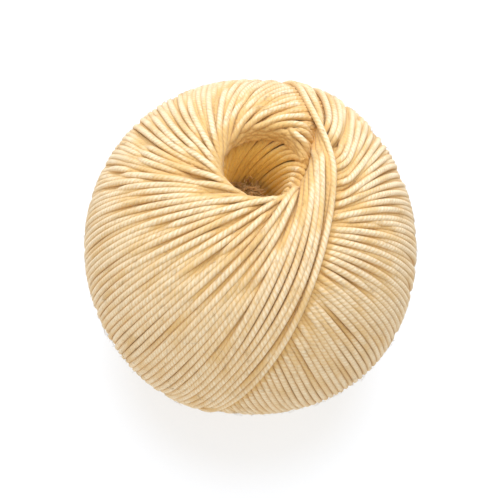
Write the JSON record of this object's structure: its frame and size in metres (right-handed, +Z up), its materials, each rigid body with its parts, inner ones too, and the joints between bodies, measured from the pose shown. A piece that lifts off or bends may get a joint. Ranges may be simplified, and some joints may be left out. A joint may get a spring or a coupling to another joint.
{
  "type": "ball of yarn",
  "caption": "Wound ball of pale straw-coloured plied yarn with an open centre hole, a raised last band of turns and a small flat spot to rest on.",
  "frame": {"origin": "middle of the flat spot on which the ball rests, on the axis of its centre hole", "axes": "+Z up along the centre hole, out of its mouth; the last band of turns passes the hole on its +X side"},
  "size_m": [0.0873, 0.09, 0.0839],
  "materials": {
    "yarn": "matt plied wool, soft and faintly fuzzy, pale straw with golden brown between the turns"
  },
  "bodies": {
    "root": {"yarn_ball": "yarn"}
  },
  "joints": []
}
